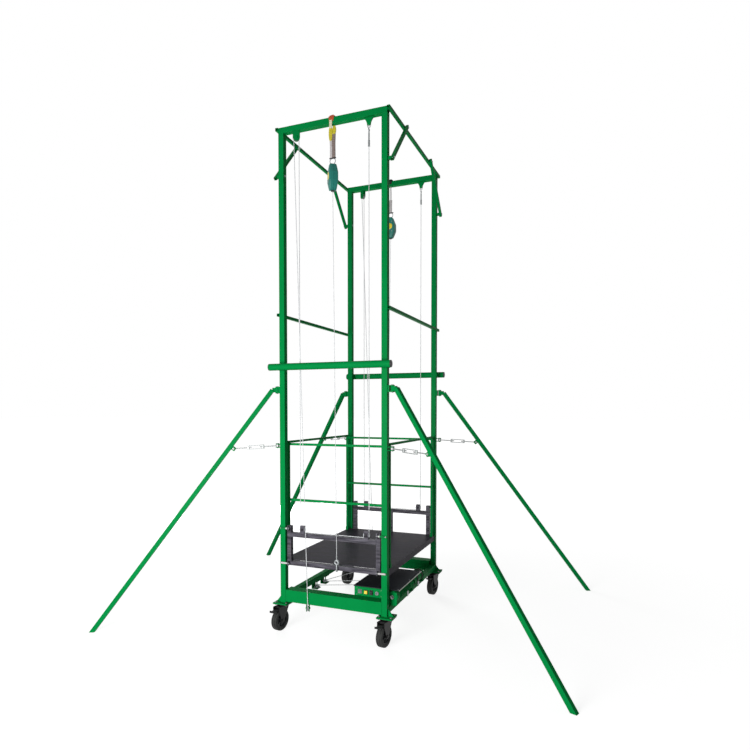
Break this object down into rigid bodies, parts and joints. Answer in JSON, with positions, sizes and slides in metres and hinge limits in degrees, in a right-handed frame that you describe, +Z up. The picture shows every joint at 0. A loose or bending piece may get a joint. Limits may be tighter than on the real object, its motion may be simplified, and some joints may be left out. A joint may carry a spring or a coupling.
{
  "type": "electric lifting platform",
  "caption": "Wheeled square-tube tower with an electrically roped lifting platform, guard rail, fall arresters and swing-out outrigger struts.",
  "frame": {"origin": "on the ground below the tower's centre", "axes": "+Z up, +X to the drive's side, -Y towards the control panel's end"},
  "size_m": [3.2706, 2.3272, 3.5336],
  "materials": {
    "green_paint": "gloss enamel",
    "platform_grey": "satin enamel",
    "zinc": "zinc plated",
    "rope_wire": "bright wire",
    "black_cover": "matte",
    "panel_plastic": "matte",
    "sling_webbing": "woven webbing",
    "arrester_shell": "moulded",
    "nylon": "moulded nylon",
    "wheel_tyre": "solid rubber",
    "yellow_button": "moulded"
  },
  "bodies": {
    "tower": {"posts": "green_paint", "base_frame": "green_paint", "top_frame": "green_paint", "knee_braces": "green_paint", "tie_bars": "green_paint", "outrigger_hinges": "green_paint", "brackets": "green_paint", "bolts_and_pins": "zinc", "galvanised_fittings": "zinc", "drive_box": "green_paint", "drive_lid": "black_cover", "control_panel": "panel_plastic", "hoist_motor": "green_paint", "hoist_ropes": "rope_wire", "rope_falls_left": "rope_wire", "rope_falls_right": "rope_wire", "lifelines": "rope_wire", "arrester_slings": "sling_webbing", "arrester_bodies": "arrester_shell", "caster_mounts": "black_cover"},
    "platform": {"deck_plate": "platform_grey", "deck_frame": "platform_grey", "end_frames": "platform_grey", "guard_rails": "green_paint", "platform_fittings": "zinc", "cross_ropes": "rope_wire", "guide_sleeves": "nylon"},
    "winding_drum": {"winding_drum": "green_paint"},
    "top_sheave_front": {"top_sheave_front": "zinc"},
    "base_sheave_front": {"base_sheave_front": "zinc"},
    "turning_sheave_front": {"turning_sheave_front": "zinc"},
    "platform_sheave_front_left": {"platform_sheave_front_left": "zinc"},
    "platform_sheave_front_right": {"platform_sheave_front_right": "zinc"},
    "top_sheave_rear": {"top_sheave_rear": "zinc"},
    "base_sheave_rear": {"base_sheave_rear": "zinc"},
    "turning_sheave_rear": {"turning_sheave_rear": "zinc"},
    "platform_sheave_rear_left": {"platform_sheave_rear_left": "zinc"},
    "platform_sheave_rear_right": {"platform_sheave_rear_right": "zinc"},
    "caster_fork_front_left": {"caster_fork_front_left": "black_cover"},
    "caster_wheel_front_left": {"caster_wheel_front_left": "wheel_tyre"},
    "brake_pedal_front_left": {"brake_pedal_front_left": "black_cover"},
    "caster_fork_front_right": {"caster_fork_front_right": "black_cover"},
    "caster_wheel_front_right": {"caster_wheel_front_right": "wheel_tyre"},
    "brake_pedal_front_right": {"brake_pedal_front_right": "black_cover"},
    "caster_fork_rear_left": {"caster_fork_rear_left": "black_cover"},
    "caster_wheel_rear_left": {"caster_wheel_rear_left": "wheel_tyre"},
    "brake_pedal_rear_left": {"brake_pedal_rear_left": "black_cover"},
    "caster_fork_rear_right": {"caster_fork_rear_right": "black_cover"},
    "caster_wheel_rear_right": {"caster_wheel_rear_right": "wheel_tyre"},
    "brake_pedal_rear_right": {"brake_pedal_rear_right": "black_cover"},
    "outrigger_front_left": {"outrigger_front_left": "green_paint", "outrigger_tie_front_left": "zinc"},
    "outrigger_front_right": {"outrigger_front_right": "green_paint", "outrigger_tie_front_right": "zinc"},
    "outrigger_rear_left": {"outrigger_rear_left": "green_paint", "outrigger_tie_rear_left": "zinc"},
    "outrigger_rear_right": {"outrigger_rear_right": "green_paint", "outrigger_tie_rear_right": "zinc"},
    "push_button": {"push_button": "yellow_button"},
    "rocker_switch": {"rocker_switch": "black_cover"}
  },
  "joints": [
    {"name": "platform_lift", "type": "slide", "parent": "tower", "child": "platform", "axis": [0, 0, 1], "range_m": [0, 2], "deforming": ["rope_falls_left", "rope_falls_right", "lifelines"]},
    {"name": "winding_drum_spin", "type": "hinge", "parent": "tower", "child": "winding_drum", "pos_m": [0.412, -0.0425, 0.304], "axis": [0, -1, 0], "continuous": true},
    {"name": "top_sheave_front_spin", "type": "hinge", "parent": "tower", "child": "top_sheave_front", "pos_m": [-0.26856, -0.58758, 3.44], "axis": [0.5878, -0.809, 0], "continuous": true},
    {"name": "base_sheave_front_spin", "type": "hinge", "parent": "tower", "child": "base_sheave_front", "pos_m": [-0.18758, -0.59535, 0.17605], "axis": [0.921, 0.3896, 0], "continuous": true},
    {"name": "turning_sheave_front_spin", "type": "hinge", "parent": "tower", "child": "turning_sheave_front", "pos_m": [-0.38403, -0.08397, 0.16235], "axis": [0.1237, 0.056, -0.9907], "continuous": true},
    {"name": "platform_sheave_front_left_spin", "type": "hinge", "parent": "platform", "child": "platform_sheave_front_left", "pos_m": [-0.236, -0.577, 0.723], "axis": [0, 1, 0], "continuous": true},
    {"name": "platform_sheave_front_right_spin", "type": "hinge", "parent": "platform", "child": "platform_sheave_front_right", "pos_m": [0.25, -0.577, 0.723], "axis": [0, 1, 0], "continuous": true},
    {"name": "top_sheave_rear_spin", "type": "hinge", "parent": "tower", "child": "top_sheave_rear", "pos_m": [-0.26856, 0.58758, 3.44], "axis": [-0.5878, -0.809, 0], "continuous": true},
    {"name": "base_sheave_rear_spin", "type": "hinge", "parent": "tower", "child": "base_sheave_rear", "pos_m": [-0.1874, 0.59527, 0.17605], "axis": [-0.9252, 0.3796, 0], "continuous": true},
    {"name": "turning_sheave_rear_spin", "type": "hinge", "parent": "tower", "child": "turning_sheave_rear", "pos_m": [-0.38435, 0.06697, 0.16234], "axis": [-0.1237, 0.0543, 0.9908], "continuous": true},
    {"name": "platform_sheave_rear_left_spin", "type": "hinge", "parent": "platform", "child": "platform_sheave_rear_left", "pos_m": [-0.236, 0.577, 0.723], "axis": [0, 1, 0], "continuous": true},
    {"name": "platform_sheave_rear_right_spin", "type": "hinge", "parent": "platform", "child": "platform_sheave_rear_right", "pos_m": [0.25, 0.577, 0.723], "axis": [0, 1, 0], "continuous": true},
    {"name": "caster_swivel_front_left", "type": "hinge", "parent": "tower", "child": "caster_fork_front_left", "pos_m": [-0.395, -0.58, 0.167], "axis": [0, 0, 1], "continuous": true},
    {"name": "wheel_roll_front_left", "type": "hinge", "parent": "caster_fork_front_left", "child": "caster_wheel_front_left", "pos_m": [-0.40029, -0.61763, 0.075], "axis": [0.9903, -0.1392, 0], "continuous": true},
    {"name": "brake_press_front_left", "type": "hinge", "parent": "caster_fork_front_left", "child": "brake_pedal_front_left", "pos_m": [-0.40502, -0.6513, 0.1496], "axis": [0.9903, -0.1392, 0], "range_deg": [0, 20]},
    {"name": "caster_swivel_front_right", "type": "hinge", "parent": "tower", "child": "caster_fork_front_right", "pos_m": [0.395, -0.58, 0.167], "axis": [0, 0, 1], "continuous": true},
    {"name": "wheel_roll_front_right", "type": "hinge", "parent": "caster_fork_front_right", "child": "caster_wheel_front_right", "pos_m": [0.38971, -0.61763, 0.075], "axis": [0.9903, -0.1392, 0], "continuous": true},
    {"name": "brake_press_front_right", "type": "hinge", "parent": "caster_fork_front_right", "child": "brake_pedal_front_right", "pos_m": [0.38498, -0.6513, 0.1496], "axis": [0.9903, -0.1392, 0], "range_deg": [0, 20]},
    {"name": "caster_swivel_rear_left", "type": "hinge", "parent": "tower", "child": "caster_fork_rear_left", "pos_m": [-0.395, 0.58, 0.167], "axis": [0, 0, 1], "continuous": true},
    {"name": "wheel_roll_rear_left", "type": "hinge", "parent": "caster_fork_rear_left", "child": "caster_wheel_rear_left", "pos_m": [-0.40029, 0.54237, 0.075], "axis": [0.9903, -0.1392, 0], "continuous": true},
    {"name": "brake_press_rear_left", "type": "hinge", "parent": "caster_fork_rear_left", "child": "brake_pedal_rear_left", "pos_m": [-0.40502, 0.5087, 0.1496], "axis": [0.9903, -0.1392, 0], "range_deg": [0, 20]},
    {"name": "caster_swivel_rear_right", "type": "hinge", "parent": "tower", "child": "caster_fork_rear_right", "pos_m": [0.395, 0.58, 0.167], "axis": [0, 0, 1], "continuous": true},
    {"name": "wheel_roll_rear_right", "type": "hinge", "parent": "caster_fork_rear_right", "child": "caster_wheel_rear_right", "pos_m": [0.38971, 0.54237, 0.075], "axis": [0.9903, -0.1392, 0], "continuous": true},
    {"name": "brake_press_rear_right", "type": "hinge", "parent": "caster_fork_rear_right", "child": "brake_pedal_rear_right", "pos_m": [0.38498, 0.5087, 0.1496], "axis": [0.9903, -0.1392, 0], "range_deg": [0, 20]},
    {"name": "outrigger_swing_front_left", "type": "hinge", "parent": "tower", "child": "outrigger_front_left", "pos_m": [-0.435, -0.58, 1.705], "axis": [0, 0, 1], "range_deg": [-25, 62]},
    {"name": "outrigger_swing_front_right", "type": "hinge", "parent": "tower", "child": "outrigger_front_right", "pos_m": [0.435, -0.58, 1.705], "axis": [0, 0, 1], "range_deg": [-67, 20]},
    {"name": "outrigger_swing_rear_left", "type": "hinge", "parent": "tower", "child": "outrigger_rear_left", "pos_m": [-0.435, 0.58, 1.705], "axis": [0, 0, 1], "range_deg": [-62, 25]},
    {"name": "outrigger_swing_rear_right", "type": "hinge", "parent": "tower", "child": "outrigger_rear_right", "pos_m": [0.435, 0.58, 1.705], "axis": [0, 0, 1], "range_deg": [-25, 62]},
    {"name": "button_press", "type": "slide", "parent": "tower", "child": "push_button", "axis": [0, 1, 0], "range_m": [0, 0.004], "stiffness_N_per_m": 400},
    {"name": "rocker_tilt", "type": "hinge", "parent": "tower", "child": "rocker_switch", "pos_m": [0.262, -0.528, 0.318], "axis": [1, 0, 0], "range_deg": [-10, 10], "stiffness_Nm_per_rad": 0.3}
  ],
  "couplings": [
    {"joint": "winding_drum_spin", "follows": "platform_lift", "rad_per_m": 48.9},
    {"joint": "top_sheave_front_spin", "follows": "platform_lift", "rad_per_m": 111.11},
    {"joint": "base_sheave_front_spin", "follows": "platform_lift", "rad_per_m": 111.11},
    {"joint": "turning_sheave_front_spin", "follows": "platform_lift", "rad_per_m": 111.11},
    {"joint": "platform_sheave_front_left_spin", "follows": "platform_lift", "rad_per_m": 55.556},
    {"joint": "platform_sheave_front_right_spin", "follows": "platform_lift", "rad_per_m": 55.556},
    {"joint": "top_sheave_rear_spin", "follows": "platform_lift", "rad_per_m": 111.11},
    {"joint": "base_sheave_rear_spin", "follows": "platform_lift", "rad_per_m": 111.11},
    {"joint": "turning_sheave_rear_spin", "follows": "platform_lift", "rad_per_m": 111.11},
    {"joint": "platform_sheave_rear_left_spin", "follows": "platform_lift", "rad_per_m": 55.556},
    {"joint": "platform_sheave_rear_right_spin", "follows": "platform_lift", "rad_per_m": 55.556}
  ]
}
